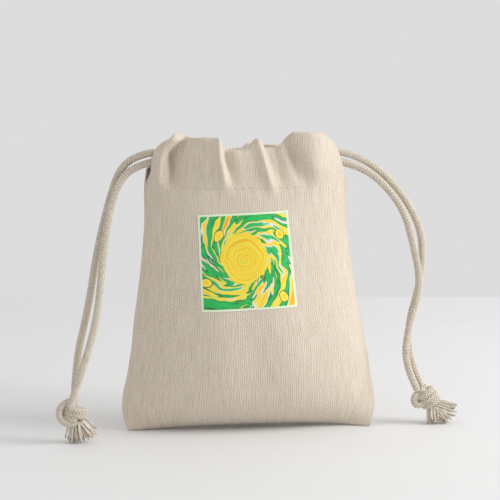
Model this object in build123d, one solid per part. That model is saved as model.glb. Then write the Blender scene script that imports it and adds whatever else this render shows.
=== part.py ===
from build123d import *
import math
import os

# Fabric gift sack: a small cotton pouch that stands on its filled base, with a
# double drawstring.  Millimetres, +Z up, front towards -Y.  The origin is the
# middle of the base, on the surface that the sack stands on.
#
# Two cloth panels are sewn together at the sides and the bottom.  Above them
# is the hem, turned over to make a channel for the cords.  The middle of the
# hem, front and back, closes the mouth by sliding over the panels' top edge;
# the hem's ends stay with the side slits, where the cords come out.

# ---- driving sizes ---------------------------------------------------------
wall = 1.0                # cloth with its turned edges, as a wall
side_wall = 1.6           # the same at the side seams, where two panels meet
hem_bottom = 98.0         # top edge of the panels, where the hem starts
hem_height = 21.0
mouth_width = 80.0        # across the hem, slit to slit, on the outside
mouth_depth = 29.4        # front to back across the hem, on the outside
hem_thickness = 5.4       # the channel, filled by its cords
running_gap = 0.3         # between pieces that move past each other

cord_diameter = 3.0
cord_clearance = 0.4      # round a cord in its channel
slit_clearance = 0.7      # each side of the cords, between the hem's two ends

# The filled sack, as (height, half width, half depth, half of the flat middle)
shape = [
    (0.0, 47.0, 11.5, 14.0),
    (6.0, 49.5, 16.0, 15.0),
    (14.0, 50.0, 19.0, 16.0),
    (36.0, 46.5, 20.5, 20.0),
    (62.0, 42.5, 19.0, 22.0),
    (84.0, 40.5, 16.0, 24.0),
    (hem_bottom, mouth_width / 2, mouth_depth / 2, (mouth_width - mouth_depth) / 2),
]

seam_allowance = 5.0      # width of the edges turned inside at the seams
seam_thickness = 0.8
seam_inset = 0.9          # from the inside of the side wall to the seam
bottom_seam_length = 76.0

print_size = 38.0         # square printed transfer on the front
print_bottom = 49.0       # height of its lower edge
print_thickness = 0.3

stitch_length = 2.2
stitch_pitch = 3.0
stitch_thickness = 0.4
stitch_height = 2.6       # above the lower edge of the hem

knot_diameter = 9.6
knot_length = 13.0
knot_edge = 3.0

# ---- cord routes: the hand-chosen corners of each free strand --------------
left_outer_route = [
    (-31, 0, 112), (-42, 0, 112), (-52.5, 0.3, 107), (-58, -3, 93),
    (-61.5, -7, 74), (-66, -12, 52), (-70.5, -16.5, 31), (-68.5, -19.5, 13),
]
left_inner_route = [
    (-31, 0, 108.4), (-41, 0, 108.2), (-50.5, -1.6, 102.5), (-55.5, -7.2, 90),
    (-59, -12.5, 72), (-61, -17.5, 50), (-66, -21.5, 32), (-72.2, -23.2, 13),
]
right_outer_route = [
    (31, 0, 112), (41, 0, 112), (52.5, 0.5, 106.5), (64, 1.2, 93.5),
    (71.5, 1.8, 78), (69.5, 2.2, 58), (63.5, 2.6, 40), (62, 3.6, 26), (68, 4.2, 15),
]
right_inner_route = [
    (31, 0, 108.4), (40, 0, 108.2), (50.5, -0.5, 101.5), (60.5, -1.2, 89.5),
    (67.5, -1.8, 74), (68, -2, 57), (62.5, -1.8, 40.5), (61.5, -1, 26.5),
    (66.5, -0.4, 15),
]

# ---- worked-out sizes ------------------------------------------------------
hem_top = hem_bottom + hem_height
slit_width = cord_diameter + 2 * slit_clearance
hem_middle_y = (mouth_depth - hem_thickness) / 2      # centre of the channel
hem_end_x = (mouth_width - mouth_depth) / 2           # where the hem turns in
channel_z = hem_bottom + 12.1                         # middle of the cord pair
cord_pitch = cord_diameter + 0.7                      # one cord above the other


def shape_at(height):
    """Half width, half depth and flat half of the sack at a height."""
    for low, high in zip(shape, shape[1:]):
        if height <= high[0]:
            break
    t = (height - low[0]) / (high[0] - low[0])
    return [a + t * (b - a) for a, b in zip(low[1:], high[1:])]


def half_section(height, inset_x=0.0, inset_y=0.0):
    """The front half of the sack's cross-section, closed along the seams."""
    width, depth, flat = shape_at(height)
    width, depth = width - inset_x, depth - inset_y
    turn = math.sqrt(0.5)
    bend_x, bend_y = flat + (width - flat) * turn, -depth * turn
    outline = [
        ThreePointArc((-width, 0), (-bend_x, bend_y), (-flat, -depth)),
        Line((-flat, -depth), (flat, -depth)),
        ThreePointArc((flat, -depth), (bend_x, bend_y), (width, 0)),
        Line((width, 0), (-width, 0)),
    ]
    return Pos(0, 0, height) * make_face(Wire(outline).edges())


def rectangle_at(height, x_low, x_high, y_low, y_high):
    """A level rectangle, one section of a loft."""
    size = Rectangle(x_high - x_low, y_high - y_low)
    return Pos((x_low + x_high) / 2, (y_low + y_high) / 2, height) * size


def block(x_low, x_high, y_low, y_high, z_low, z_high):
    """A box between six planes."""
    centre = ((x_low + x_high) / 2, (y_low + y_high) / 2, (z_low + z_high) / 2)
    return Pos(*centre) * Box(x_high - x_low, y_high - y_low, z_high - z_low)


def make_panel():
    """The front cloth: side to side and down to the middle of the base."""
    heights = [row[0] for row in shape]
    outside = loft([half_section(z) for z in heights], ruled=True)
    inside_heights = [wall] + heights[1:]
    inside = loft(
        [half_section(z, side_wall, wall) for z in inside_heights], ruled=True
    )
    return outside - inside


def make_side_seam():
    """The seam edges turned inside the left side, from the base to the slit."""
    heights = [wall + running_gap] + [row[0] for row in shape[1:]]
    sections = []
    for z in heights:
        outer = shape_at(z)[0] - side_wall - seam_inset
        sections.append(
            rectangle_at(z, -outer, seam_allowance - outer,
                         -seam_thickness / 2, seam_thickness / 2)
        )
    return loft(sections, ruled=True)


def make_bottom_seam():
    """The bottom seam's edges, lying to the back on the inside of the base."""
    half = bottom_seam_length / 2
    return block(-half, half, 0, seam_allowance, wall, wall + seam_thickness)


def make_channel():
    """The front middle of the hem, with the slot that holds two cords."""
    y_out = -mouth_depth / 2
    strip = block(-hem_end_x + running_gap, hem_end_x - running_gap,
                  y_out, y_out + hem_thickness,
                  hem_bottom + running_gap, hem_top)
    slot_width = cord_diameter + 2 * cord_clearance
    slot_height = cord_pitch + slot_width
    slot = Plane.YZ * SlotOverall(slot_height, slot_width, rotation=90)
    slot = extrude(slot, amount=mouth_width / 2, both=True)
    return strip - Pos(0, -hem_middle_y, channel_z) * slot


def make_hem_stitches():
    """The row of stitches that closes the front channel below its cords."""
    y_face = -mouth_depth / 2
    z_low = hem_bottom + stitch_height
    count = int((2 * hem_end_x - stitch_pitch) / stitch_pitch)
    stitches = []
    for i in range(count):
        x = (i - (count - 1) / 2) * stitch_pitch
        stitches.append(
            block(x - stitch_length / 2, x + stitch_length / 2,
                  y_face - stitch_thickness, y_face,
                  z_low, z_low + stitch_thickness)
        )
    return Compound(children=stitches)


def make_hem_end():
    """The front left end of the hem, turned round to the slit at the side."""
    outer = mouth_depth / 2
    ring = Circle(outer) - Circle(outer - hem_thickness)
    keep = Pos(-outer / 2, -slit_width / 2 - outer / 2) * Rectangle(outer, outer)
    end = extrude(ring & keep, amount=hem_height)
    return Pos(-hem_end_x, 0, hem_bottom) * end


def make_channel_cords():
    """The two cords side by side in the front channel, one of each loop."""
    length = 2 * (hem_end_x - running_gap)
    cord = Rot(0, 90, 0) * Cylinder(cord_diameter / 2, length)
    places = [channel_z - cord_pitch / 2, channel_z + cord_pitch / 2]
    return Compound(children=[Pos(0, -hem_middle_y, z) * cord for z in places])


def make_strand(name, route):
    """A free cord: straight runs joined by arcs as large as the runs allow."""
    points = [Vector(*p) for p in route]
    radii = []
    for before, corner, after in zip(points, points[1:], points[2:]):
        run_in, run_out = corner - before, after - corner
        half_turn = math.radians(run_in.get_angle(run_out)) / 2
        radii.append(0.45 * min(run_in.length, run_out.length) / math.tan(half_turn))
    path = FilletPolyline(*points, radius=radii)
    start = Plane(origin=points[0], z_dir=points[1] - points[0])
    strand = sweep(start * Circle(cord_diameter / 2), path=path)
    section = math.pi * cord_diameter ** 2 / 4
    print(f"{name}: length {path.length:.1f} mm, smallest radius {min(radii):.1f} mm,",
          f"volume is {strand.volume / (section * path.length):.4f} of section x length")
    print("  radii", [round(r, 1) for r in radii])
    return strand


def make_knot(centre, tilt):
    """A doubled overhand knot as one rounded barrel, lying along X."""
    barrel = Rot(0, 90, 0) * Cylinder(knot_diameter / 2, knot_length)
    barrel = fillet(barrel.edges().filter_by(GeomType.CIRCLE), knot_edge)
    return Pos(*centre) * Rot(0, tilt, 0) * barrel


def make_tassel(top_centre, top_radius, foot_centre, foot_radius):
    """The cords' frayed ends as one skewed cone that opens to its foot."""
    top = Pos(*top_centre) * Circle(top_radius)
    foot = Pos(*foot_centre) * Circle(foot_radius)
    return loft([foot, top], ruled=True)


def opposite(piece):
    """The same piece on the back of the sack."""
    return mirror(piece, about=Plane.XZ)


def other_side(piece):
    """The same piece on the right of the sack."""
    return mirror(piece, about=Plane.YZ)


# ---- the pieces, one node each ---------------------------------------------
panel = make_panel()
channel = make_channel()
stitches = make_hem_stitches()
channel_cords = make_channel_cords()
side_seam = make_side_seam()
hem_end = make_hem_end()

print_heights = [print_bottom, 62.0, 84.0, print_bottom + print_size]
print_sections = []
for z in print_heights:
    face_y = -shape_at(z)[1]
    print_sections.append(
        rectangle_at(z, -print_size / 2, print_size / 2, face_y - print_thickness, face_y)
    )

parts = {
    "front_panel": panel,
    "back_panel": opposite(panel),
    "left_side_seam": side_seam,
    "right_side_seam": other_side(side_seam),
    "bottom_seam": make_bottom_seam(),
    "front_channel": channel,
    "back_channel": opposite(channel),
    "front_hem_stitches": stitches,
    "back_hem_stitches": opposite(stitches),
    "left_front_hem_end": hem_end,
    "left_back_hem_end": opposite(hem_end),
    "right_front_hem_end": other_side(hem_end),
    "right_back_hem_end": opposite(other_side(hem_end)),
    "front_print": loft(print_sections, ruled=True),
    "front_channel_cords": channel_cords,
    "back_channel_cords": opposite(channel_cords),
    "left_outer_strand": make_strand("left outer strand", left_outer_route),
    "left_inner_strand": make_strand("left inner strand", left_inner_route),
    "right_outer_strand": make_strand("right outer strand", right_outer_route),
    "right_inner_strand": make_strand("right inner strand", right_inner_route),
    "left_knot": make_knot((-70.5, -21.3, 10.2), 0),
    "right_knot": make_knot((69.5, 2.0, 13.2), 10),
    "left_tassel": make_tassel((-69.5, -23.0, 7.5), 2.8, (-67.5, -29.0, 0.4), 6.0),
    "right_tassel": make_tassel((73.0, 2.4, 10.5), 2.8, (79.5, 4.0, 0.4), 5.5),
}

os.makedirs("parts", exist_ok=True)
for name, piece in parts.items():
    export_step(piece, f"parts/{name}.step")
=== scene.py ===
# %% [markdown]
# # A small drawstring gift sack
# The sack is a pouch of plain cotton cloth that stands on its filled base.
# Everything is made in metres, in the frame of the construction model, which
# gives each piece its place and its moving body.

# %% Load the frame
import bpy
import math
import numpy as np
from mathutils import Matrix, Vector


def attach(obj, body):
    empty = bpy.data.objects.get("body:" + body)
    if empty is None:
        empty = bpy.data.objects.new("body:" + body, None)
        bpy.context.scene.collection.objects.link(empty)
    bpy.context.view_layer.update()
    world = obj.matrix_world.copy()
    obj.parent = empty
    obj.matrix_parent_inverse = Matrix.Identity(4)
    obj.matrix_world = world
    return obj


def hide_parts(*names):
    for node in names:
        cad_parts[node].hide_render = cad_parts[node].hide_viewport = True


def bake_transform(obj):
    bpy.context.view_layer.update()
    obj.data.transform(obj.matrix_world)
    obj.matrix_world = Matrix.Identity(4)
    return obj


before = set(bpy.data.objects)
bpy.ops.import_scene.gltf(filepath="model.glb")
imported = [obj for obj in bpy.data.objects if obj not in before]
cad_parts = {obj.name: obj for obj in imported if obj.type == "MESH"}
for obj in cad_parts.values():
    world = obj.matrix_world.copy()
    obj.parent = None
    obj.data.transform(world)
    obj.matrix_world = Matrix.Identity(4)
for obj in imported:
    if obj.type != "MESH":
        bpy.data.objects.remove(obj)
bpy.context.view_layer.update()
MM = 0.001
rng = np.random.default_rng(7)

# %% [markdown]
# ## Camera
# Something this small is best seen from a step back through a long lens, so
# that it keeps its shape.  The camera is turned a little to the sack's left,
# and looks slightly down on it.

# %% Camera
view_turn = math.radians(7.0)
view_rise = math.radians(8.0)
view_distance = 0.72
view_width = 0.2015            # what the view spans at the sack
aim = Vector((0.0006, 0.0, 0.0725))

toward_camera = Vector((
    -math.sin(view_turn) * math.cos(view_rise),
    -math.cos(view_turn) * math.cos(view_rise),
    math.sin(view_rise),
))
camera = bpy.data.objects.new("camera", bpy.data.cameras.new("camera"))
bpy.context.scene.collection.objects.link(camera)
camera.location = aim + toward_camera * view_distance
camera.rotation_euler = (-toward_camera).to_track_quat("-Z", "Y").to_euler()
camera.data.sensor_width = 36
camera.data.lens = 36 * view_distance / view_width
camera.data.clip_start = 0.01
bpy.context.scene.camera = camera
print("lens", round(camera.data.lens), "mm at", view_distance, "m")

# %% [markdown]
# ## Helpers for meshes
# Cloth is easiest to make as a grid of points: rows go up the cloth, columns
# go across it.  Each point also remembers where it was on the flat cloth, in
# millimetres, so that the weave follows every fold.

# %% Mesh helpers
def new_mesh(name, points, faces, cloth=None):
    """A smooth-shaded mesh object from points in millimetres."""
    mesh = bpy.data.meshes.new(name)
    mesh.from_pydata((np.asarray(points) * MM).tolist(), [], faces)
    mesh.shade_smooth()
    if cloth is not None:
        layer = mesh.attributes.new("cloth_mm", "FLOAT_VECTOR", "POINT")
        layer.data.foreach_set("vector", np.asarray(cloth, np.float32).ravel())
    mesh.validate()
    made = bpy.data.objects.new(name, mesh)
    bpy.context.scene.collection.objects.link(made)
    return made


def grid_faces(rows, columns, wrap=False, first=0):
    """Quads between the points of a grid; wrap joins the last column to the first."""
    across = columns if wrap else columns - 1
    return [
        (first + r * columns + c, first + r * columns + (c + 1) % columns,
         first + (r + 1) * columns + (c + 1) % columns, first + (r + 1) * columns + c)
        for r in range(rows - 1) for c in range(across)
    ]


def grid_mesh(name, grid, cloth, flip=False):
    """A mesh from a grid of points and their places on the flat cloth."""
    faces = grid_faces(*grid.shape[:2])
    if flip:
        faces = [face[::-1] for face in faces]
    return new_mesh(name, grid.reshape(-1, 3), faces, cloth.reshape(-1, 3))


def on_cloth(across, along):
    """Places on the flat cloth, from how far across it and how far up it they are."""
    across, along = np.broadcast_arrays(across, along)
    return np.stack([across, along, np.zeros(along.shape)], axis=-1)


def thicken(piece, thickness, offset):
    """Gives cloth its thickness in mm, inward where offset is -1 and both ways where it is 0."""
    solid = piece.modifiers.new("thickness", "SOLIDIFY")
    solid.thickness = thickness * MM
    solid.offset = offset


def smooth_step(x):
    """0 below 0, 1 above 1, and a gentle ramp between."""
    x = np.clip(x, 0, 1)
    return x * x * (3 - 2 * x)


def curve_at(knots, x):
    """A smooth curve through (place, value) knots, without overshoot."""
    px, py = np.array(knots, float).T
    slope = np.diff(py) / np.diff(px)
    bend = np.zeros(len(px))
    same = slope[1:] * slope[:-1] > 0
    bend[1:-1][same] = 2 * slope[1:][same] * slope[:-1][same] / (slope[1:] + slope[:-1])[same]
    bend[0], bend[-1] = slope[0], slope[-1]
    x = np.clip(x, px[0], px[-1])
    i = np.clip(np.searchsorted(px, x, side="right") - 1, 0, len(px) - 2)
    h = px[i + 1] - px[i]
    t = (x - px[i]) / h
    return (py[i] * (1 + 2 * t) * (1 - t) ** 2 + bend[i] * h * t * (1 - t) ** 2
            + py[i + 1] * t * t * (3 - 2 * t) + bend[i + 1] * h * t * t * (t - 1))


# %% [markdown]
# ## Drawstring lines
# Each side has two strands of one soft cotton cord.  They leave the slit in
# the hem side by side, bend over under their own weight, and meet again in a
# knot near the floor.  A cord could be a bevelled curve, but a bevel is a
# smooth pipe.  Here each strand is one NURBS curve through listed control
# points, and the yarns of its braid are wound round that line afterwards.

# %% Drawstring lines
# Control points, in metres.  Each strand starts a little way inside the hem, so
# that it still reaches the hem when it is pulled out.
cord_routes = {
    "left_outer": [
        (-0.027, 0, 0.112), (-0.031, 0, 0.112), (-0.0405, 0, 0.1125), (-0.0510, 0.0009, 0.1075),
        (-0.0562, -0.0018, 0.093), (-0.0612, -0.0065, 0.074), (-0.0650, -0.012, 0.052),
        (-0.0706, -0.0165, 0.031), (-0.0712, -0.0198, 0.0145)],
    "left_inner": [
        (-0.027, 0, 0.1084), (-0.031, 0, 0.1084), (-0.0400, -0.0005, 0.1088), (-0.0508, -0.0030, 0.1040),
        (-0.0560, -0.0062, 0.091), (-0.0590, -0.0105, 0.072), (-0.0615, -0.0165, 0.050),
        (-0.0668, -0.0211, 0.032), (-0.0732, -0.0232, 0.0145)],
    "right_outer": [
        (0.027, 0, 0.112), (0.031, 0, 0.112), (0.0405, 0, 0.1116), (0.0530, 0.0010, 0.1052),
        (0.0650, 0.0016, 0.0920), (0.0722, 0.0018, 0.077), (0.0712, 0.0014, 0.058),
        (0.0655, -0.0002, 0.040), (0.0664, -0.0024, 0.025), (0.0716, -0.0032, 0.0142)],
    "right_inner": [
        (0.027, 0, 0.1084), (0.031, 0, 0.1084), (0.0400, -0.0003, 0.1076), (0.0520, -0.0021, 0.1020),
        (0.0630, -0.0020, 0.0888), (0.0675, -0.0018, 0.073), (0.0706, -0.0024, 0.057),
        (0.0652, -0.0040, 0.0405), (0.0630, -0.0060, 0.0255), (0.0688, -0.0070, 0.0142)],
}


def smooth_line(route):
    """Points, in millimetres, along the NURBS curve of some control points in metres."""
    curve = bpy.data.curves.new("line", "CURVE")
    curve.dimensions = "3D"
    curve.resolution_u = 24
    spline = curve.splines.new("NURBS")
    spline.points.add(len(route) - 1)
    for point, place in zip(spline.points, route):
        point.co = (*place, 1)
    spline.order_u = 3
    spline.use_endpoint_u = True
    holder = bpy.data.objects.new("line", curve)
    mesh = bpy.data.meshes.new_from_object(holder)
    line = np.array([vertex.co for vertex in mesh.vertices]) / MM
    bpy.data.objects.remove(holder)
    bpy.data.meshes.remove(mesh)
    return line


def line_length(line):
    return np.linalg.norm(np.diff(line, axis=0), axis=1).sum()


cord_lines = {name: smooth_line(route) for name, route in cord_routes.items()}
for name, line in cord_lines.items():
    print(name, "strand, mm:", round(line_length(line), 1))

# %% [markdown]
# ## Helpers for yarns
# A yarn is a thin tube with a flat section.  Its section has to keep its
# direction along the line, without a sudden twist, so each side direction is
# the last one, turned only as far as the line turns.

# %% Yarn helpers
def unit(vectors):
    return vectors / np.linalg.norm(vectors, axis=-1, keepdims=True)


def line_at(places, run, line):
    """Points of a line at places along it, where run says how far along its own points are."""
    return np.stack([np.interp(places, run, line[:, k]) for k in range(3)], axis=1)


def even_steps(line, step):
    """A line's points at even steps, and how far along the line each one is."""
    run = np.concatenate([[0], np.cumsum(np.linalg.norm(np.diff(line, axis=0), axis=1))])
    at = np.linspace(0, run[-1], max(4, int(run[-1] / step)))
    return line_at(at, run, line), at


def frames_along(line):
    """The direction of a line at each point, and two steady directions across it."""
    ahead = unit(np.gradient(line, axis=0))
    side = np.cross(ahead[0], (0.31, 0.87, 0.22))
    sides = []
    for direction in ahead:
        side = unit(side - direction * (side @ direction))
        sides.append(side)
    sides = np.array(sides)
    return ahead, sides, np.cross(ahead, sides)


def yarn(line, wide, thick, across, outward, sides=6, shade=0.0, start=0.0):
    """A closed yarn along a line, as points, faces and cloth places.

    wide and thick are its half sizes, along the directions across and outward.
    shade, from 0 to 1, is painted shade: how deep in the cord a point lies, or how near a tassel's cut
    end."""
    turn = np.linspace(0, 2 * math.pi, sides, endpoint=False)
    wide, thick = (np.broadcast_to(size, len(line))[:, None, None] for size in (wide, thick))
    points = (line[:, None] + wide * np.cos(turn)[None, :, None] * across[:, None]
              + thick * np.sin(turn)[None, :, None] * outward[:, None])
    run = np.linspace(0, line_length(line), len(line)) + start
    shade = np.broadcast_to(shade, len(line))
    cloth = np.stack([np.broadcast_to(turn * 0.45, points.shape[:2]),
                      np.broadcast_to(run[:, None], points.shape[:2]),
                      np.broadcast_to(shade[:, None], points.shape[:2])], axis=-1)
    last = (len(line) - 1) * sides
    faces = grid_faces(len(line), sides, wrap=True)
    faces += [tuple(range(sides))[::-1], tuple(range(last, last + sides))]
    return points.reshape(-1, 3), faces, cloth.reshape(-1, 3)


def mesh_of(name, parts):
    """One mesh object from several yarns."""
    faces, first = [], 0
    for points, part_faces, _ in parts:
        faces += [tuple(corner + first for corner in face) for face in part_faces]
        first += len(points)
    points = np.concatenate([part[0] for part in parts])
    return new_mesh(name, points, faces, np.concatenate([part[2] for part in parts]))


# %% [markdown]
# ## Braided cord
# The cord is a round braid of twelve flat yarns round a soft core.  Six wind
# one way and six the other, and each passes over and under the ones that it
# meets.  With six each way, a yarn meets the next one every twelfth of its
# turn, so its distance from the core is a cosine with six waves to a turn, and
# the yarns of the other direction have the opposite sign.

# %% Braid
braid_pitch = 7.6              # along the cord for one turn of a yarn, mm
braid_radius = 1.12
braid_rise = 0.22              # how far a yarn goes over and under
yarn_half_width, yarn_half_thickness = 0.42, 0.27


def braid(line, size=1.0, squash=1.0, step=0.42):
    """The yarns of a braided cord along a line; squash below 1 flattens the cord."""
    line, run = even_steps(line, step)
    ahead, side, up = frames_along(line)
    ends = np.minimum(run, run[-1] - run)
    taper = 0.72 + 0.28 * smooth_step(ends / 1.2)
    turn = 2 * math.pi * run / (braid_pitch * size)
    parts = []
    for k in range(12):
        way = 1 if k % 2 else -1
        angle = (way * turn + math.pi / 3 * (k // 2))[:, None]
        outward = np.cos(angle) * side + np.sin(angle) * up * squash
        radius = (braid_radius + way * braid_rise * np.cos(6 * turn)) * size * taper
        path = line + radius[:, None] * outward
        outward = unit(outward)
        across = unit(np.cross(outward, np.gradient(path, axis=0)))
        # Painted shade: each yarn is darker where it dips under its neighbours, into the braid's gaps.
        deep = 0.5 - 0.5 * way * np.cos(6 * turn)
        parts.append(yarn(path, yarn_half_width * size, yarn_half_thickness * size, across, outward,
                          shade=0.75 * deep ** 1.6, start=rng.uniform(0, 40)))
    core = 0.98 * size * taper
    # The core gets full painted shade, as it sits deep between the yarns.
    parts.append(yarn(line, core, core * squash, side, up, sides=10, shade=1.0))
    return parts


cords = {}
for name, line in cord_lines.items():
    cords[name] = mesh_of(name + "_braided_strand", braid(line))
    print(name, "faces:", len(cords[name].data.polygons))

# %% [markdown]
# ## Knots
# The two strands of a side are tied together.  One end goes round the pair
# twice as a band, and comes out below as a loose loop.  The knots are the same
# braided cord on tighter lines, and the real ones aren't a pair: one lies flat
# and the other hangs askew.

# %% Knots
def wrap_line(centre, radius_x, radius_y, z_from, z_to, turns, start, tilt=0.0):
    """Control points, in metres, of cord that goes round an upright line."""
    angle = start + np.linspace(0, 2 * math.pi * turns, int(8 * turns) + 1)
    z = np.linspace(z_from, z_to, len(angle))
    x, y = radius_x * np.cos(angle), radius_y * np.sin(angle)
    x, z = x * math.cos(tilt) + z * math.sin(tilt), z * math.cos(tilt) - x * math.sin(tilt)
    return (np.stack([x, y, z], axis=1) + centre) * MM


def knot(name, centre, wraps, loops):
    """A knot of several lengths of cord; loops are control points from its centre, mm."""
    lines = [smooth_line(wrap_line(centre, *wrap)) for wrap in wraps]
    lines += [smooth_line((np.array(loop, float) + centre) * MM) for loop in loops]
    return mesh_of(name, [part for line in lines for part in braid(line, size=0.93, step=0.36)])


left_knot = knot(
    "left_knot_cord", (-71.0, -20.6, 12.2),
    wraps=[(3.9, 3.1, 2.3, -2.3, 2.4, 2.4, 0.16)],
    loops=[
        [(0.6, 1.0, 5.0), (-1.4, -0.6, 5.0), (-3.8, -1.4, 4.3), (-5.9, -1.6, 2.4),
         (-6.3, -1.8, -0.4), (-5.0, -2.2, -2.8), (-2.8, -2.6, -3.9), (0.4, -2.0, -3.4)],
        [(-0.6, 1.4, 5.4), (-1.4, -0.6, 3.2), (-0.4, -0.8, -2.0), (0.8, -1.2, -4.4)],
        [(-2.2, -1.6, 4.8), (-2.6, -1.2, 2.5), (-1.0, -0.6, -1.0), (-1.0, -1.2, -4.2)],
    ])
right_knot = knot(
    "right_knot_cord", (73.4, -4.6, 10.9),
    wraps=[(3.6, 3.2, 2.8, -2.8, 2.4, 3.4, -0.68)],
    loops=[
        [(-0.4, 0.6, 3.2), (-2.8, -1.0, 3.0), (-5.4, -1.8, 1.6), (-6.4, -2.0, -0.6),
         (-5.2, -2.2, -2.8), (-2.8, -2.2, -2.4), (-0.6, -1.6, -1.2)],
        [(-3.8, -2.2, 4.2), (-2.0, -1.4, 2.6), (0.8, -0.4, 0.0), (3.4, 0.0, -2.8)],
        [(-1.2, 1.8, 4.6), (0.0, 1.2, 2.2), (1.6, 0.6, -1.0), (3.0, 0.6, -3.8)],
    ])
for piece in (left_knot, right_knot):
    print(piece.name, "spans mm:", np.round(np.array(piece.dimensions) / MM, 1))

# %% [markdown]
# ## Tassels
# Below its knot the cord is left to come undone.  Each tassel is a bundle of
# single yarns that start close together, spread out, and were cut at slightly
# different lengths.  Hair particles could make them, but a few dozen tubes can
# be shaped one by one, and stay a mesh.

# %% Tassels
def tuft(top, foot, top_radius, foot_radius, count, sag=0.0):
    """Single yarns from a tight top to a spread foot, with a slight wave."""
    top, foot = np.array(top, float), np.array(foot, float)
    _, side, up = frames_along(np.linspace(top, foot, 4))
    parts = []
    for _ in range(count):
        angle, share = rng.uniform(0, 2 * math.pi), math.sqrt(rng.uniform(0.02, 1))
        disc = (math.cos(angle) * side[0] + math.sin(angle) * up[0]) * share
        end = top + (foot - top) * rng.uniform(0.80, 1.06) + disc * foot_radius
        begin = top + disc * top_radius
        middle = (begin + end) / 2 + disc * foot_radius * 0.28 + [0, 0, sag]
        t = np.linspace(0, 1, 14)[:, None]
        path = begin * (1 - t) ** 2 + 2 * middle * t * (1 - t) + end * t * t
        wave = rng.uniform(0.1, 0.32) * np.sin(t * rng.uniform(4, 8) + rng.uniform(0, 6))
        path += wave * side[0] * t + rng.normal(0, 0.12, 3) * t
        path[:, 2] = np.maximum(path[:, 2], 0.34 + 0.3 * share)
        _, across, outward = frames_along(path)
        half = rng.uniform(0.26, 0.46) * (1 - 0.2 * t[:, 0] ** 3)
        # Painted shade: each yarn darkens towards its cut end, by a random amount.
        painted_shade = rng.uniform(0.1, 1) * smooth_step((t[:, 0] - 0.72) / 0.28)
        parts.append(yarn(path, half, half, across, outward, sides=5, shade=painted_shade,
                          start=rng.uniform(0, 40)))
    return parts


left_tassel = mesh_of("left_tassel_yarns", [
    *tuft((-71.6, -20.6, 8.8), (-72.8, -19.4, 0.4), 1.8, 2.2, 20),
    *tuft((-70.2, -20.8, 9.0), (-69.2, -19.8, 0.4), 1.9, 2.4, 26),
    *tuft((-69.2, -20.6, 9.2), (-63.8, -19.2, 2.6), 1.9, 2.6, 24),
])
right_tassel = mesh_of("right_tassel_yarns", [
    *tuft((76.2, -4.8, 8.0), (84.8, -5.0, 5.0), 1.7, 2.8, 28, 0.8),
    *tuft((75.8, -4.8, 7.4), (81.8, -5.6, 0.9), 1.8, 2.6, 22),
    *tuft((75.2, -4.8, 7.0), (75.8, -6.0, 0.2), 1.8, 2.8, 26),
])
print("tassels have", len(left_tassel.data.vertices), "and", len(right_tassel.data.vertices), "points")

# %% [markdown]
# ## The shape of the filled sack
# A flat pouch that is filled becomes a pillow: widest and deepest near its
# foot, and flatter towards the mouth.  Two curves give its half width and its
# half depth at each height.  The hem is then drawn together by its cords, so
# the cloth of the hem is thrown into folds, which die out at its stitches.
# Cloth simulation could find some folds, but not these: each is drawn as a
# path up the hem, with its strength at each height, and a width, a depth, and
# how far it leans over its neighbour.

# %% Sack outline and folds
half_width = [(0, 49.0), (4, 50.6), (9, 51.5), (14, 51.3), (20, 50.2), (28, 49.3), (40, 47.2),
              (52, 44.9), (64, 43.1), (76, 41.7), (86, 40.9), (97, 40.8), (106, 40.0), (122, 38.9)]
half_depth = [(0, 3.0), (1, 5.6), (3, 9.0), (6, 12.2), (10, 15.0), (16, 17.6), (26, 19.7),
              (40, 20.4), (56, 19.0), (70, 17.2), (84, 15.0), (97, 13.0), (110, 11.5), (122, 11.0)]
slit_bottom = 98.0             # where the side seams end and the slits begin
stitch_level = 98.6            # the row of stitches that closes the hem
cord_levels = (108.3, 112.0)   # the two cords in the hem

# ([(height, x, strength), ...], width, depth, lean); a crease goes in, and a
# ridge, with a negative depth, comes out.
front_folds = [
    ([(96.5, -36.8, 0), (99.5, -36.8, 0.7), (103, -36.6, 1), (111, -36.0, 1), (116, -32.4, 1),
      (121, -28.0, 1)], 4.2, -5.2, 0.0),
    ([(97, -32.4, 0), (100.5, -30.2, 0.5), (104, -28.8, 0.8), (109, -29.2, 1), (112, -29.4, 1),
      (115.5, -26.0, 1), (121, -20.4, 0.9)], 1.8, 4.9, -1.2),
    ([(95.4, -37, 0), (97.8, -37, 1), (100, -37, 0), (121, -37, 0)], 3.8, 1.5, 0.0),
    ([(95, -14, 0), (104, -14.5, 0.5), (110, -15, 1), (121, -15, 1)], 8.0, -2.6, 0.0),
    ([(96, -9.8, 0), (99, -10, 0.25), (103, -10.2, 0.75), (107, -10.8, 1), (113, -11.4, 1),
      (121, -11.2, 1)], 2.1, -2.6, 0.0),
    ([(99, -6.5, 0), (104, -7, 0.5), (109, -8.2, 1), (114.5, -9.2, 1), (121, -9.0, 1)],
     1.8, 3.4, -0.6),
    ([(94, 9.6, 0), (98, 9.2, 0.25), (102, 8.2, 0.7), (106, 7.4, 1), (112, 6.0, 1),
      (121, 3.8, 1)], 2.2, -3.0, 0.0),
    ([(99, 10.2, 0), (104, 9.6, 0.4), (110, 7.8, 1), (116.5, 5.6, 1), (121, 4.6, 1)],
     1.4, 3.4, 0.5),
    ([(97, 13, 0), (106, 12, 0.8), (114, 10.5, 1), (121, 10, 1)], 3.6, 2.8, 0.0),
    ([(100, 20, 0), (106, 18.6, 0.5), (112, 17.0, 1), (118, 14.6, 1), (121, 14, 1)],
     1.7, 2.7, 0.4),
    ([(94, 27, 0), (100, 27, 0.4), (107, 27, 1), (121, 26, 1)], 8.0, -3.6, 0.0),
    ([(96, 23.5, 0), (101.5, 22.5, 0.8), (106, 20.5, 1), (111, 18.5, 0.8), (116, 17, 0),
      (121, 17, 0)], 3.6, 1.9, 0.0),
]
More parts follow.
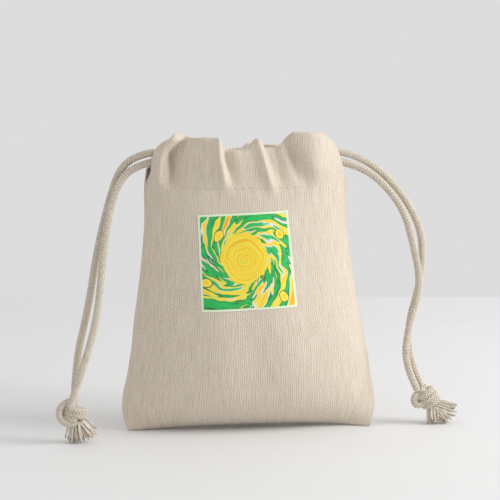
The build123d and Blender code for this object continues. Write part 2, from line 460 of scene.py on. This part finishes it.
back_folds = [
    ([(92, x_low, 0), (104, (x_low + x_top) / 2, 0.6), (113, x_top, 1), (121, x_top, 1)],
     width, depth, lean)
    for x_top, x_low, width, depth, lean in [
        (-36.0, -36.5, 5.0, -4.5, 0.0), (-25.0, -28.0, 3.0, 5.5, 0.8),
        (-15.0, -17.0, 4.5, -2.4, 0.0), (-6.0, -4.0, 2.6, 5.0, -0.8),
        (3.5, 2.5, 4.2, -2.0, 0.0), (12.5, 11.5, 2.8, 5.0, 0.6),
        (21.0, 22.0, 4.5, -2.4, 0.0), (28.0, 29.0, 2.6, 3.4, 0.0), (34.0, 35.0, 5.0, -3.4, 0.0)]
]
front_rim = [(-40, 107), (-38.6, 112), (-37, 115.2), (-34, 118.0), (-30, 119.0), (-25, 119.0),
             (-19, 119.2), (-12, 118.9), (-10.6, 117.4), (-9.2, 114.6), (-7.4, 113.9), (-3, 114),
             (-0.4, 115), (2.8, 118.2), (4.6, 118.4), (6.0, 117), (7.4, 114.6), (12.5, 114.6),
             (14, 116.8), (16, 119.2), (18.5, 120.8), (24, 120.7), (28.5, 119.8),
             (33, 118.6), (36, 115.8), (38, 111.5), (39.4, 106)]
back_rim = [(-40, 105), (-38, 110), (-34, 113), (-20, 114), (-9, 111), (-5.5, 110.4), (-3, 111.6),
            (2.5, 114.8), (8, 114.4), (14, 114.8), (18, 116.6), (22.4, 118.8), (30, 119.4),
            (34.4, 118.4), (37.2, 114.6), (38.8, 110.6), (40, 105)]


def raw_wall(folds, x_share, height):
    """Points of a wall before the cloth is laid evenly: x_share goes from -1 to 1."""
    wide, deep = curve_at(half_width, height), curve_at(half_depth, height)
    x = wide * x_share
    edge = np.clip(1 - np.abs(x_share) ** 2.3, 0, 1) ** 0.8
    y = deep * edge
    y = y - 0.1 * np.exp(-((height - stitch_level + 0.8) / 2.0) ** 2) * edge
    for path, width, depth, lean in folds:
        place = curve_at([(z, at) for z, at, _ in path], height)
        strength = curve_at([(z, share) for z, _, share in path], height)
        shape = np.exp(-np.abs((x - place) / width) ** (1.5 if depth > 0 else 2))
        y = y - depth * strength * shape * np.minimum(1, 3 * edge)
        x = x + lean * strength * shape
    return x, y


heights = np.linspace(0, 121, 174)
columns = 240                  # points from side to side
shares = np.linspace(-1, 1, columns)
flat_half_width = 50.0         # of the cloth before it is filled
outward_y = {"front": -1, "back": 1}


def share_of_length(x, y):
    """How far along a line each of its points is, from 0 to 1."""
    run = np.concatenate([[0], np.cumsum(np.hypot(np.diff(x), np.diff(y)))])
    return run / run[-1]


def make_wall(folds):
    """Points by height and share of the cloth's width, laid evenly across it."""
    dense = np.linspace(-1, 1, 1500)
    table = np.zeros((len(heights), columns, 3))
    straight = share_of_length(*raw_wall([], dense, 90.0))
    for row, z in enumerate(heights):
        x, y = raw_wall(folds, dense, z)
        run = 0.45 * share_of_length(x, y) + 0.55 * straight
        at = (shares + 1) / 2
        table[row] = np.stack([np.interp(at, run, x), np.interp(at, run, y),
                               np.full(columns, z)], axis=1)
    return table


def blur(values, times, axis):
    """Evens values out along one axis, ends kept."""
    values = np.moveaxis(values.copy(), axis, 0)
    for _ in range(times):
        values[1:-1] = (values[:-2] + 2 * values[1:-1] + values[2:]) / 4
    return np.moveaxis(values, 0, axis)


walls = {"front": blur(make_wall(front_folds), 8, 0), "back": blur(make_wall(back_folds), 3, 0)}
print("wall rows and columns", walls["front"].shape[:2])

# %% [markdown]
# ## From one wall to a whole panel
# The cloth starts at the bottom seam, runs out along the floor, turns up, and
# goes over the mouth and down inside as the hem.  The hem is the channel for
# the cords, so there is room for a cord between its two layers.

# %% Panel points
hem_turn = 1.5                 # radius of the hem's fold, half the channel
hem_inside = 97.8              # the turned-in edge ends here, just under its stitches
lift = np.array([0, 0, 0.25])  # of the outer face of the cloth above the floor
foot_rows, roll_rows, inner_rows = 8, 7, 26    # along the floor, over the fold, down inside


def settle(points):
    """The lie of the whole sack: corners forward, foot arched, and a soft wave in its faces."""
    x, y, z = points[..., 0], points[..., 1], points[..., 2]
    y = y - (5.2 + 2.6 * x / 49) * np.abs(x / 49) ** 5 * np.exp(-z / 12)
    arch = np.clip(1 - ((x - 2) / 46) ** 2, 0, 1)
    x = x - 0.3 * np.exp(-z / 10) - 1.2 * smooth_step(z / 120)
    x = x + 1.2 * np.exp(-((z - 31) / 12) ** 2) * smooth_step(-x / 49)
    z = z + 1.4 * arch * np.exp(-z / 10)
    y = y + 0.4 * np.sin(x / 9 + 1.2) * np.sin(z / 17 + 0.6) * smooth_step(z / 20)
    y = y + 0.25 * np.sin(x / 4.1 + z / 23) * smooth_step(z / 30) * smooth_step((100 - z) / 20)
    return np.stack([x, y, z], axis=-1)


def sample(table, column, z):
    """The wall's point for a column at a height, between its rows."""
    row = np.clip(z / heights[-1] * (len(heights) - 1), 0, len(heights) - 1.001)
    low = row.astype(int)
    part = (row - low)[..., None]
    return table[low, column] * (1 - part) + table[low + 1, column] * part


def inward_normals(table):
    """Unit normals that point into the sack, evened out so layers don't cross."""
    up = np.gradient(table, axis=0)
    across = np.gradient(table, axis=1)
    normal = np.cross(across, up)
    normal /= np.linalg.norm(normal, axis=2, keepdims=True) + 1e-9
    normal[..., 1] = np.where(normal[..., 1] > 0, -normal[..., 1], normal[..., 1])
    normal = blur(blur(normal, 30, 1), 6, 0)
    return normal / (np.linalg.norm(normal, axis=2, keepdims=True) + 1e-9)


def panel_points(table, rim):
    """Grid of a whole panel, from the bottom seam over the hem to its inner edge."""
    column = np.arange(columns)
    normals = inward_normals(table)
    rim_height = curve_at(rim, sample(table, column, np.full(columns, 112.0))[:, 0]) - hem_turn
    rows, along = [], []
    first = sample(table, column, np.zeros(columns))
    for k in np.linspace(0, 1, foot_rows, endpoint=False):
        rows.append(first * [1, k, 1] + lift)
        along.append(-first[:, 1] * (1 - k))
    level_up_to, last = 84.0, 120.0      # from one to the other, rows take on the rim's outline
    for z in np.linspace(0, last, 172):
        level = np.full(columns, z)
        if z > level_up_to:
            level = level_up_to + (z - level_up_to) * (rim_height - level_up_to) / (last - level_up_to)
        rows.append(sample(table, column, level) + lift)
        along.append(level)
    top = sample(table, column, rim_height)
    normal = sample(normals, column, rim_height)
    centre = top + normal * hem_turn
    for angle in np.linspace(0, math.pi, roll_rows + 2)[1:-1]:
        rows.append(centre - normal * hem_turn * math.cos(angle) + [0, 0, hem_turn * math.sin(angle)])
        along.append(rim_height + hem_turn * angle)
    for t in np.linspace(0, 1, inner_rows):
        level = rim_height + t * (np.minimum(hem_inside, rim_height - 3) - rim_height)
        gap = 2 * hem_turn * (1 - 0.7 * smooth_step((t - 0.75) / 0.25))
        rows.append(sample(table, column, level) + sample(normals, column, level) * gap)
        along.append(rim_height + hem_turn * math.pi + (rim_height - level))
    return np.array(rows), on_cloth(shares * flat_half_width, np.array(along))


# %% Panels
cloth_thickness = 0.5
slit_edges = {"front": (2.0, 0.5), "back": (0.2, 0.2)}    # left, right


def make_panel(name, side, rim):
    """One panel of the sack, front or back, as cloth with a thickness."""
    grid, cloth = panel_points(walls[side], rim)
    opened = smooth_step((grid[..., 2] - slit_bottom) / 8)
    edge = np.abs(shares) ** 14
    grid[..., 1] += (1.4 * opened + 0.25) * edge
    left, right = slit_edges[side]
    grid[..., 0] += np.where(shares < 0, left, -right) * opened * edge
    grid[..., 1] *= outward_y[side]
    grid = settle(grid)
    made = grid_mesh(name, grid, cloth, flip=side == "back")
    thicken(made, cloth_thickness, -1)
    return made, grid


front_panel, front_grid = make_panel("front_panel_cloth", "front", front_rim)
back_panel, back_grid = make_panel("back_panel_cloth", "back", back_rim)
for name, grid in (("front", front_grid), ("back", back_grid)):
    print(name, "spans mm", grid.reshape(-1, 3).min(0).round(1), grid.reshape(-1, 3).max(0).round(1))

# %% [markdown]
# ## Printed square
# A transfer is a thin film of ink, pressed into the cloth with heat.  It is a
# small sheet that lies on the front cloth and follows it, a tenth of a
# millimetre proud.  It was pressed on by hand, so it sits slightly turned, and
# it narrows upwards because the cloth under it is already being gathered.

# %% Printed square
print_half = 19.0
print_centre_x, print_centre_z = -2.0, 70.0
print_turn = math.radians(2.4)
print_film = 0.12              # how proud of the cloth the ink lies


def front_place(x, z):
    """Points on the front's outer face at given x and height, and their places on the flat cloth."""
    column = np.arange(columns)
    points, shares_at = [], []
    for row_x, row_z in zip(x, z):
        y = np.empty(len(row_x))
        share = np.empty(len(row_x))
        for k, (one_x, one_z) in enumerate(zip(row_x, row_z)):
            wall = sample(walls["front"], column, np.full(columns, one_z))
            y[k] = np.interp(one_x, wall[:, 0], wall[:, 1])
            share[k] = np.interp(one_x, wall[:, 0], shares)
        points.append(np.stack([row_x, -y, row_z], axis=1) + lift)
        shares_at.append(share)
    return settle(np.array(points)), on_cloth(np.array(shares_at) * flat_half_width, z)


def make_print():
    steps = np.linspace(-1, 1, 57)
    u, v = np.meshgrid(steps, steps)
    wide = print_half * (0.97 - 0.03 * v) * u
    high = print_half * v
    x = print_centre_x + wide * math.cos(print_turn) - high * math.sin(print_turn)
    z = print_centre_z + high * math.cos(print_turn) + wide * math.sin(print_turn)
    grid, cloth = front_place(x, z)
    outward = -np.cross(np.gradient(grid, axis=0), np.gradient(grid, axis=1))
    grid += unit(outward) * print_film
    made = grid_mesh("printed_square", grid, cloth)
    layer = made.data.attributes.new("print_mm", "FLOAT_VECTOR", "POINT")
    flat = on_cloth(u * print_half, v * print_half)
    layer.data.foreach_set("vector", flat.astype(np.float32).ravel())
    return made


printed_square = make_print()
print("printed square, mm:", np.round(np.array(printed_square.dimensions) / MM, 1))

# %% [markdown]
# ## Sewing and hidden cloth
# The hem is closed by a row of short stitches, the sides and the bottom have
# their turned-in edges inside, and the cords go on through the hem.  Most of
# this shows only from above or when the mouth is open, so it is made from the
# same walls as the panels, and lies a little inside them.

# %% Hem stitches and cords in the hem
stitch_pitch, stitch_length, thread_half = 3.0, 2.2, 0.12
stitch_reach, cord_reach = 27.0, 26.0       # how far each goes to either side


def wall_line(side, x_from, x_to, z, inward, count):
    """A line along a wall at one height, some way in from its outer face."""
    table, column = walls[side], np.arange(columns)
    level = np.full(columns, z)
    wall = sample(table, column, level) + sample(inward_normals(table), column, level) * inward
    share = np.interp(np.linspace(x_from, x_to, count), wall[:, 0], shares)
    line = line_at(share, shares, wall)
    line[:, 1] *= outward_y[side]
    return settle(line + lift)


def make_stitches(side):
    """Short threads that lie on the cloth and dip into it at both ends."""
    count = 400
    line = wall_line(side, -stitch_reach, stitch_reach, stitch_level, -0.02, count)
    inside = wall_line(side, -stitch_reach, stitch_reach, stitch_level, 1.0, count)
    line, run = even_steps(line, 0.2)
    toward = unit(line - line_at(np.linspace(0, 1, len(line)), np.linspace(0, 1, count), inside))
    parts = []
    for start in np.arange(0.6, run[-1] - stitch_length, stitch_pitch):
        here = np.linspace(start, start + stitch_length, 9)
        path = line_at(here, run, line)
        path += (unit(line_at(here, run, toward))
                 * (0.10 * np.sin(np.linspace(0, math.pi, 9)) ** 0.5 - 0.06)[:, None])
        _, across, outward = frames_along(path)
        parts.append(yarn(path, thread_half, thread_half, across, outward, start=start))
    return mesh_of(side + "_hem_thread", parts)


def make_channel_cords(side):
    """The pair of cords inside a hem, pressed flatter by the cloth round them."""
    parts = []
    for z in cord_levels:
        line = blur(wall_line(side, -cord_reach, cord_reach, z, hem_turn + 0.05, 120), 12, 0)
        parts += braid(line, size=0.66, squash=0.9, step=0.5)
    return mesh_of(side + "_hem_cords", parts)


hem_threads = {side: make_stitches(side) for side in walls}
hem_cords = {side: make_channel_cords(side) for side in walls}
print("stitches and hem cords:", [len(piece.data.vertices) for piece in hem_threads.values()],
      [len(piece.data.vertices) for piece in hem_cords.values()])

# %% Seam edges inside
seam_allowance = 5.0
seam_thickness = 0.8           # of its two layers together


def make_side_seam(name, end):
    """Turned-in edges of both panels, which lie flat against the back panel inside."""
    table = walls["back"]
    levels = np.linspace(3.0, 96.5, 60)
    normals = inward_normals(table)
    count = 12
    column = np.linspace(2, 16, count)
    if end > 0:
        column = columns - 1 - column
    column = column.astype(int)
    rows = [sample(table, column, np.full(count, z)) + sample(normals, column, np.full(count, z)) * 1.15
            for z in levels]
    cloth = on_cloth(shares[column] * flat_half_width, levels[:, None])
    made = grid_mesh(name, settle(np.array(rows)), cloth, flip=end > 0)
    thicken(made, seam_thickness, 0)
    return made


def make_bottom_seam():
    x, up = np.meshgrid(np.linspace(-38, 38, 60), np.linspace(0, 1, 6))
    y = 0.2 + up * (1.4 + 0.3 * np.sin(x / 3.1))
    z = 1.3 + up * seam_allowance
    made = grid_mesh("bottom_seam_cloth", settle(np.stack([x, y, z], axis=-1)), on_cloth(x, z))
    thicken(made, seam_thickness, 0)
    return made


left_seam = make_side_seam("left_side_seam_cloth", -1)
right_seam = make_side_seam("right_side_seam_cloth", 1)
bottom_seam = make_bottom_seam()
print("side seams, mm high:", round(left_seam.dimensions.z / MM, 1))

# %% [markdown]
# ## Helper for materials
# Every finish is made of nodes.  One function adds a node, sets its settings
# and links its inputs, and the others use it for what most finishes need.

# %% Material helper
def linear(code):
    """A colour written as sRGB hex, as the linear values that shaders take."""
    values = [int(code[i:i + 2], 16) / 255 for i in (1, 3, 5)]
    return tuple(v / 12.92 if v <= 0.04045 else ((v + 0.055) / 1.055) ** 2.4 for v in values) + (1,)


def add(tree, kind, inputs=(), **settings):
    """Adds a node; inputs are (name, value or socket to link from) pairs."""
    node = tree.nodes.new("ShaderNode" + kind)
    for key, value in settings.items():
        setattr(node, key, value)
    for key, value in dict(inputs).items():
        if isinstance(value, bpy.types.NodeSocket):
            tree.links.new(value, node.inputs[key])
        else:
            node.inputs[key].default_value = value
    return node


def new_material(name):
    """An empty node material and its nodes."""
    material = bpy.data.materials.new(name)
    material.use_nodes = True
    material.node_tree.nodes.clear()
    return material, material.node_tree


def surface(tree, inputs, relief=None):
    """The surface shader and the material's output; relief is what a bump node takes."""
    if relief:
        inputs = {**inputs, "Normal": add(tree, "Bump", relief).outputs[0]}
    add(tree, "OutputMaterial", {"Surface": add(tree, "BsdfPrincipled", inputs).outputs[0]})


def ramp(tree, value, stops):
    """A colour ramp through (place, hex colour) stops."""
    node = add(tree, "ValToRGB", {"Fac": value})
    elements = node.color_ramp.elements
    while len(elements) < len(stops):
        elements.new(0.5)
    for element, (place, code) in zip(elements, stops):
        element.position, element.color = place, linear(code)
    return node.outputs["Color"]


def maths(tree, operation, a, b=0.0):
    """One sum on two values or sockets."""
    return add(tree, "Math", {0: a, 1: b}, operation=operation).outputs[0]


def weighted(tree, parts, weights):
    """The sum of several values, each times its weight."""
    total = 0.0
    for part, weight in zip(parts, weights):
        total = maths(tree, "ADD", maths(tree, "MULTIPLY", part, weight), total)
    return total


def mixed(tree, share, first, second):
    """One colour where share is 0, another where it is 1."""
    return add(tree, "Mix", {0: share, 6: first, 7: second}, data_type="RGBA").outputs[2]


# %% [markdown]
# ## Unbleached cotton cloth
# The cloth is natural, unbleached cotton in a plain weave with thick warp
# threads, so it shows fine upright ribs.  Cotton is matt, a little fuzzy at
# grazing angles, and its threads vary in thickness and in colour.

# %% Cotton cloth
# The ribs are 0.93 mm apart on the filled sack.  They are a little closer on the
# flat cloth, because the panels are drawn stretched over the filling.
rib_pitch = 0.84               # warp ribs, mm
weft_pitch = 0.70              # weft threads, mm
cotton_ior = 1.47


def weave(tree):
    """Height and tone of the plain weave, from a point's place on the flat cloth."""
    at = add(tree, "Attribute", attribute_name="cloth_mm").outputs["Vector"]
    wander = add(tree, "TexNoise", {"Vector": at, "Scale": 0.22, "Detail": 3.0}).outputs["Fac"]
    axes = add(tree, "SeparateXYZ", {"Vector": at})
    across = maths(tree, "ADD", axes.outputs["X"], maths(tree, "MULTIPLY", wander, 1.5))
    along = axes.outputs["Y"]
    # Warp ribs that wander a little, and weft threads that cross them in turn.
    warp_turn = maths(tree, "MULTIPLY", across, 2 * math.pi / rib_pitch)
    warp = maths(tree, "SINE", warp_turn)
    weft_turn = maths(tree, "MULTIPLY", along, 2 * math.pi / weft_pitch)
    odd = maths(tree, "SINE", maths(tree, "MULTIPLY", warp_turn, 0.5))
    weft = maths(tree, "MULTIPLY", maths(tree, "SINE", weft_turn), odd)
    stretched = add(tree, "Mapping", {"Vector": at, "Scale": (1.6, 0.10, 1.0)})
    slub = add(tree, "TexNoise", {"Vector": stretched.outputs[0], "Scale": 1.0, "Detail": 3.0})
    fuzz = add(tree, "TexNoise", {"Vector": at, "Scale": 2.6, "Detail": 4.0}).outputs["Fac"]
    parts = (warp, weft, slub.outputs["Fac"], fuzz)
    height = weighted(tree, parts, (0.46, 0.56, 0.4, 0.8))
    tone = weighted(tree, parts, (0.07, 0.10, 0.34, 0.60))
    return height, tone


def make_cotton_cloth():
    material, tree = new_material("unbleached_cotton_cloth")
    height, tone = weave(tree)
    colour = ramp(tree, tone, [
        (0.20, "#aa9987"), (0.42, "#d1c3b1"), (0.56, "#e1d5c5"), (0.80, "#f0e8db")])
    surface(tree, {"Base Color": colour, "Roughness": 0.93, "IOR": cotton_ior,
                   "Sheen Weight": 0.25, "Sheen Roughness": 0.5},
            relief={"Height": height, "Strength": 0.5, "Distance": 0.00013})
    return material


cotton_cloth = make_cotton_cloth()
for panel in (front_panel, back_panel):
    panel.data.materials.append(cotton_cloth)
print("cloth ribs every", rib_pitch, "mm")

# %% [markdown]
# ## Cotton cord and sewing thread
# The cord is cotton too, scoured a little paler than the cloth.  Cotton yarn is
# matt, and each flat yarn is itself twisted, so fine slanting lines cross it.
# Where a yarn lies deep in the braid or its core, and towards a tassel's cut ends, painted shade darkens
# it.

# %% Cotton cord and thread
fibre_pitch = 0.42             # slanting fibres on a yarn, mm


def make_yarn_material(name, dark, light, painted_shade):
    material, tree = new_material(name)
    at = add(tree, "Attribute", attribute_name="cloth_mm").outputs["Vector"]
    axes = add(tree, "SeparateXYZ", {"Vector": at})
    slant = weighted(tree, (axes.outputs["X"], axes.outputs["Y"]), (1.0, 0.8))
    fibre = maths(tree, "SINE", maths(tree, "MULTIPLY", slant, 2 * math.pi / fibre_pitch))
    patches = add(tree, "TexNoise", {"Vector": at, "Scale": 0.55, "Detail": 3.0}).outputs["Fac"]
    fuzz = add(tree, "TexNoise", {"Vector": at, "Scale": 5.0, "Detail": 3.0}).outputs["Fac"]
    tone = weighted(tree, (patches, fibre, fuzz), (0.8, 0.07, 0.2))
    clean = ramp(tree, tone, [(0.25, dark), (0.75, light)])
    # The third value of cloth_mm says how much painted shade each point gets.
    painted_shade_share = maths(tree, "MULTIPLY", axes.outputs["Z"], 0.95)
    colour = mixed(tree, painted_shade_share, clean, linear(painted_shade))
    height = weighted(tree, (fibre, fuzz), (0.5, 1.0))
    surface(tree, {"Base Color": colour, "Roughness": 0.9, "IOR": cotton_ior,
                   "Sheen Weight": 0.3, "Sheen Roughness": 0.5},
            relief={"Height": height, "Strength": 0.5, "Distance": 0.00006})
    return material


# The last colour of each is its painted shade colour.
cotton_cord = make_yarn_material("braided_cotton_cord", "#c8bba7", "#f1e9dc", "#8f7a5e")
cotton_thread = make_yarn_material("cotton_sewing_thread", "#d2c6b3", "#e2d8c8", "#cdc1ad")
for piece in (*cords.values(), left_knot, right_knot, left_tassel, right_tassel, *hem_cords.values()):
    piece.data.materials.append(cotton_cord)
for piece in hem_threads.values():
    piece.data.materials.append(cotton_thread)
for piece in (left_seam, right_seam, bottom_seam):
    piece.data.materials.append(cotton_cloth)
print("yarn materials:", cotton_cord.name, cotton_thread.name)

# %% [markdown]
# ## Print
# The print is a plain pinwheel: a ringed yellow disc, with strokes of yellow and
# pale ink that sweep round it over a green ground, a few round drops, and a pale
# edge.  It is worked out from the distance and the angle to the disc's middle.
# The angle is turned further the further out a point is, which bends straight
# rays into arms.  Noise that changes quickly across the arms and slowly along
# them makes the brush strokes.  Heat-pressed ink is a thin plastic film, so it
# is smoother than cotton, but the weave still shows.

# %% Printed transfer
disc_radius = 11.0             # before the strokes bite into its edge, mm
pale_border = 0.85


def make_print_material():
    material, tree = new_material("heat_pressed_ink")
    at = add(tree, "Attribute", attribute_name="print_mm").outputs["Vector"]
    noise = add(tree, "TexNoise", {"Vector": at, "Scale": 0.11, "Detail": 1.5})
    push = add(tree, "VectorMath", {0: noise.outputs["Color"], 1: (-0.5, -0.5, -0.5)}, operation="ADD")
    push = add(tree, "VectorMath", {0: push.outputs[0], "Scale": 5.0}, operation="SCALE")
    middle = add(tree, "VectorMath", {0: at, 1: (0.6, -1.2, 0)}, operation="ADD")
    place = add(tree, "VectorMath", {0: middle.outputs[0], 1: push.outputs[0]}, operation="ADD")
    axes = add(tree, "SeparateXYZ", {"Vector": place.outputs[0]})
    x, y = axes.outputs["X"], axes.outputs["Y"]
    square = maths(tree, "ADD", maths(tree, "MULTIPLY", x, x), maths(tree, "MULTIPLY", y, y))
    distance = maths(tree, "POWER", square, 0.5)
    angle = maths(tree, "ARCTAN2", y, x)
    bend = maths(tree, "LOGARITHM", maths(tree, "ADD", distance, 1.0), math.e)

    def arms(count, twist):
        """Spiral arms: how many, and how far each is turned on its way out."""
        return maths(tree, "SINE", weighted(tree, (angle, bend), (count, twist)))

    def strokes(across, twist, along):
        """Noise drawn out along the arms into long brush strokes."""
        turn = weighted(tree, (angle, bend), (1.0, twist))
        spread = add(tree, "CombineXYZ", {
            "X": maths(tree, "MULTIPLY", maths(tree, "COSINE", turn), across),
            "Y": maths(tree, "MULTIPLY", maths(tree, "SINE", turn), across),
            "Z": maths(tree, "MULTIPLY", bend, along)})
        drawn_out = add(tree, "TexNoise", {"Vector": spread.outputs[0], "Scale": 1.0, "Detail": 2.5})
        return drawn_out.outputs["Fac"]

    sweep = weighted(tree, (strokes(2.4, 1.7, 1.6), arms(9.0, 15.3)), (1.0, 0.05))
    ground = ramp(tree, sweep, [
        (0.24, "#f7b21a"), (0.33, "#ffe03a"), (0.36, "#e9f0e4"), (0.375, "#0f7434"), (0.41, "#2cc463"),
        (0.485, "#22b053"), (0.505, "#0d6b2e"), (0.52, "#cfe56a"), (0.55, "#ffe640"), (0.59, "#fbd02a"),
        (0.61, "#e9eef2"), (0.625, "#35c66c"), (0.76, "#1f9f4a")])
    cells = add(tree, "TexVoronoi", {"Vector": place.outputs[0], "Scale": 0.13})
    drop = ramp(tree, cells.outputs["Distance"], [
        (0.0, "#f5ab12"), (0.13, "#ffdd30"), (0.24, "#ffe75a"), (0.27, "#0d6b2e")])
    pick = add(tree, "SeparateXYZ", {"Vector": cells.outputs["Color"]}).outputs["X"]
    is_drop = maths(tree, "MULTIPLY", maths(tree, "LESS_THAN", cells.outputs["Distance"], 0.29),
                    maths(tree, "GREATER_THAN", pick, 0.6))
    ground = mixed(tree, is_drop, ground, drop)
    # The rings of the disc are noise that changes outward and hardly round it.
    round_disc = add(tree, "CombineXYZ", {"X": maths(tree, "MULTIPLY", distance, 1.5),
                                          "Y": maths(tree, "MULTIPLY", angle, 0.12)})
    rings = add(tree, "TexNoise", {"Vector": round_disc.outputs[0], "Scale": 1.0, "Detail": 2.0})
    disc = ramp(tree, rings.outputs["Fac"], [
        (0.30, "#eeb21e"), (0.44, "#f9cf2a"), (0.54, "#fde244"), (0.64, "#eee650"), (0.72, "#b9cf3c")])
    edge = weighted(tree, (distance, sweep), (1.0, 3.0))
    picture = mixed(tree, maths(tree, "LESS_THAN", edge, disc_radius), ground, disc)
    flat = add(tree, "SeparateXYZ", {"Vector": at})
    reach = maths(tree, "MAXIMUM", maths(tree, "ABSOLUTE", flat.outputs["X"]),
                  maths(tree, "ABSOLUTE", flat.outputs["Y"]))
    is_border = maths(tree, "GREATER_THAN", reach, print_half - pale_border)
    colour = mixed(tree, is_border, picture, linear("#e4f2d4"))
    height, _ = weave(tree)
    surface(tree, {"Base Color": colour, "Roughness": 0.62, "IOR": 1.49},
            relief={"Height": height, "Strength": 0.35, "Distance": 0.0001})
    return material


printed_square.data.materials.append(make_print_material())
print("print material:", printed_square.data.materials[0].name)

# %% [markdown]
# ## Light and floor
# A big soft light stands to the right of the sack, and pale light comes from
# all round.  The floor ends a little way behind the sack.  The pale wall past
# it is the world itself, because a wall mesh there would stand in the way of
# every view from behind.

# %% Stage
floor_end = 319                # from the middle to the far edge of the floor, mm
floor_reach = 1500             # to its other edges


def area_light(name, place, target, size, watts):
    """A square soft light aimed at a point."""
    data = bpy.data.lights.new(name, "AREA")
    data.size, data.energy = size, watts
    made = bpy.data.objects.new(name, data)
    made.location = place
    made.rotation_euler = (Vector(target) - Vector(place)).to_track_quat("-Z", "Y").to_euler()
    bpy.context.scene.collection.objects.link(made)


def make_paper(name, low, high):
    """Pale paper, with the slight unevenness that paper has."""
    material, tree = new_material(name)
    grain = add(tree, "TexNoise", {"Scale": 60.0, "Detail": 2.0}).outputs["Fac"]
    surface(tree, {"Base Color": ramp(tree, grain, [(0.0, low), (1.0, high)]), "Roughness": 0.8})
    return material


def make_stage():
    """A pale floor, with its far edge square to the camera."""
    corners = [(-floor_reach, -floor_reach, 0), (floor_reach, -floor_reach, 0),
               (floor_reach, floor_end, 0), (-floor_reach, floor_end, 0)]
    floor = new_mesh("floor", corners, [(0, 1, 2, 3)])
    floor.rotation_euler.z = -view_turn
    floor.data.materials.append(make_paper("pale_paper_floor", "#e6e6e6", "#eaeaea"))


make_stage()
area_light("key_light", (0.74, -0.24, 0.42), (0, 0, 0.06), 0.45, 4.9)
world = bpy.data.worlds.new("studio")
world.use_nodes = True
world.node_tree.nodes["Background"].inputs["Color"].default_value = (1, 1, 1, 1)
world.node_tree.nodes["Background"].inputs["Strength"].default_value = 0.72
bpy.context.scene.world = world
bpy.context.scene.view_settings.view_transform = "Standard"
print("lights:", len(bpy.data.lights), "and the world")

# %% [markdown]
# ## What each piece moves with
# The panels, the print and the sewing have their places baked into their meshes,
# and are attached to no body.  The strands, the knot and the tassel of one
# side move together when that side is pulled.


def follow_rim(piece):
    """Bakes a piece's place into its mesh; the piece is attached to no body."""
    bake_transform(piece)


def make_flat(piece):
    """Applies a piece's modifiers, so that its mesh is final."""
    graph = bpy.context.evaluated_depsgraph_get()
    piece.data = bpy.data.meshes.new_from_object(piece.evaluated_get(graph), depsgraph=graph)
    piece.modifiers.clear()


for side, panel in (("front", front_panel), ("back", back_panel)):
    make_flat(panel)
    for piece in (panel, hem_threads[side], hem_cords[side]):
        follow_rim(piece)
    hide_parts(side + "_panel", side + "_channel",
                f"left_{side}_hem_end", f"right_{side}_hem_end")
    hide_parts(side + "_hem_stitches")
    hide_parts(side + "_channel_cords")

for name, piece in (("left_side_seam", left_seam), ("right_side_seam", right_seam),
                    ("bottom_seam", bottom_seam)):
    make_flat(piece)
    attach(piece, "sack")
    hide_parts(name)

follow_rim(printed_square)
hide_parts("front_print")

ends = {"left": (left_knot, left_tassel), "right": (right_knot, right_tassel)}
for name, piece in cords.items():
    hand = name.split("_")[0]
    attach(piece, hand + "_drawstring")
    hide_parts(name + "_strand")
for hand, pair in ends.items():
    for piece, node in zip(pair, ("_knot", "_tassel")):
        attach(piece, hand + "_drawstring")
        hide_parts(hand + node)
